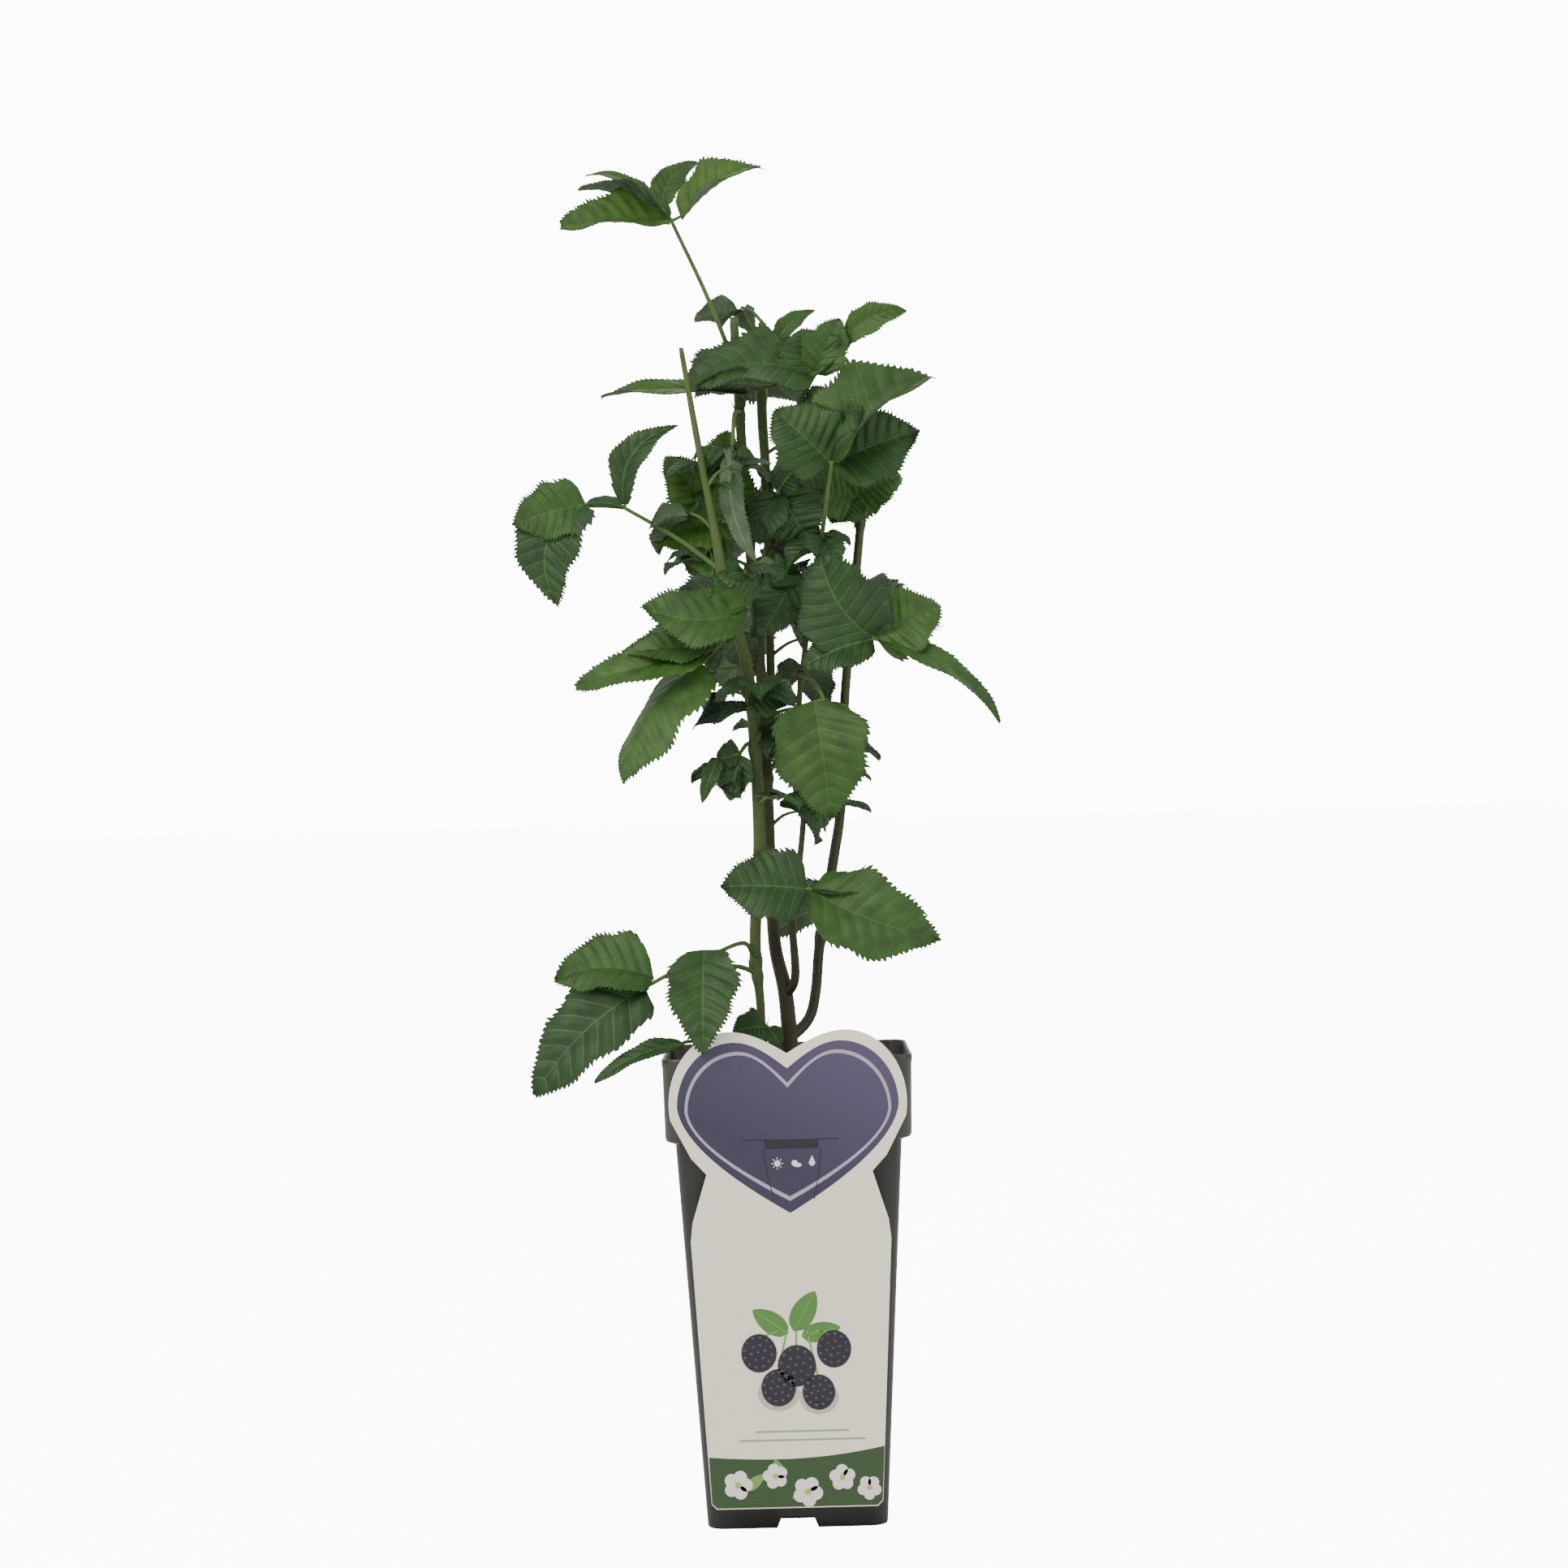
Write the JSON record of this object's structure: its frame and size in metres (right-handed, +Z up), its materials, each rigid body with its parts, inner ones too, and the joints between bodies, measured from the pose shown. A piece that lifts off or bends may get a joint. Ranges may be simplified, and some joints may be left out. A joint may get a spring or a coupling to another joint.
{
  "type": "potted navaho bramble",
  "caption": "Young thornless bramble with upright canes and toothed compound leaves, in a square black nursery pot with compost and a heart-topped care card.",
  "frame": {"origin": "centre of the pot's flat underside, on the ground", "axes": "+Z up along the canes, -Y towards the viewer and the printed face of the care card, +X to the viewer's right"},
  "size_m": [0.1819, 0.1482, 0.5245],
  "materials": {
    "black_plastic": "moulded, dusty",
    "peat_compost": "damp and crumbly",
    "printed_card": "printed, satin",
    "green_cane": "young green bark, satin",
    "brown_cane": "brown ripening bark, satin",
    "leaf_stalk": "green, downy",
    "leaf_green": "matte leaf with sunk veins",
    "leaf_dark": "matte leaf with sunk veins",
    "leaf_bright": "matte leaf with sunk veins",
    "leaf_pale": "downy underside"
  },
  "bodies": {
    "root": {"cane_left": "green_cane", "cane_middle": "brown_cane", "cane_right": "brown_cane", "cane_thin": "brown_cane", "cane_upright": "green_cane", "care_card": "printed_card", "compost": "peat_compost", "leaf_back_deep": "leaf_green", "leaf_back_foot": "leaf_green", "leaf_back_high": "leaf_green", "leaf_back_left": "leaf_green", "leaf_back_low": "leaf_green", "leaf_back_middle": "leaf_green", "leaf_back_right": "leaf_green", "leaf_centre": "leaf_dark", "leaf_centre_low": "leaf_dark", "leaf_dark_cross": "leaf_dark", "leaf_foot": "leaf_dark", "leaf_left_hanging": "leaf_green", "leaf_left_mid": "leaf_bright", "leaf_low_hanging": "leaf_green", "leaf_low_pair": "leaf_green", "leaf_lower_left": "leaf_green", "leaf_mid_left": "leaf_green", "leaf_over_card": "leaf_green", "leaf_pale_narrow": "leaf_pale", "leaf_right_facing": "leaf_green", "leaf_right_hanging": "leaf_bright", "leaf_rim": "leaf_dark", "leaf_small_curled": "leaf_dark", "leaf_top": "leaf_bright", "leaf_upper": "leaf_green", "leaf_upper_right": "leaf_green", "leaf_upper_right_back": "leaf_green", "pot": "black_plastic", "stalk_back_deep": "leaf_stalk", "stalk_back_foot": "leaf_stalk", "stalk_back_high": "leaf_stalk", "stalk_back_left": "leaf_stalk", "stalk_back_low": "leaf_stalk", "stalk_back_middle": "leaf_stalk", "stalk_back_right": "leaf_stalk", "stalk_centre": "leaf_stalk", "stalk_centre_low": "leaf_stalk", "stalk_left_hanging": "leaf_stalk", "stalk_low_hanging": "leaf_stalk", "stalk_low_pair": "leaf_stalk", "stalk_lower_left": "leaf_stalk", "stalk_mid_left": "leaf_stalk", "stalk_over_card": "leaf_stalk", "stalk_pale_narrow": "leaf_stalk", "stalk_right_facing": "leaf_stalk", "stalk_right_hanging": "leaf_stalk", "stalk_rim": "leaf_stalk", "stalk_top": "leaf_stalk", "stalk_upper": "leaf_stalk", "stalk_upper_right": "leaf_stalk"}
  },
  "joints": []
}
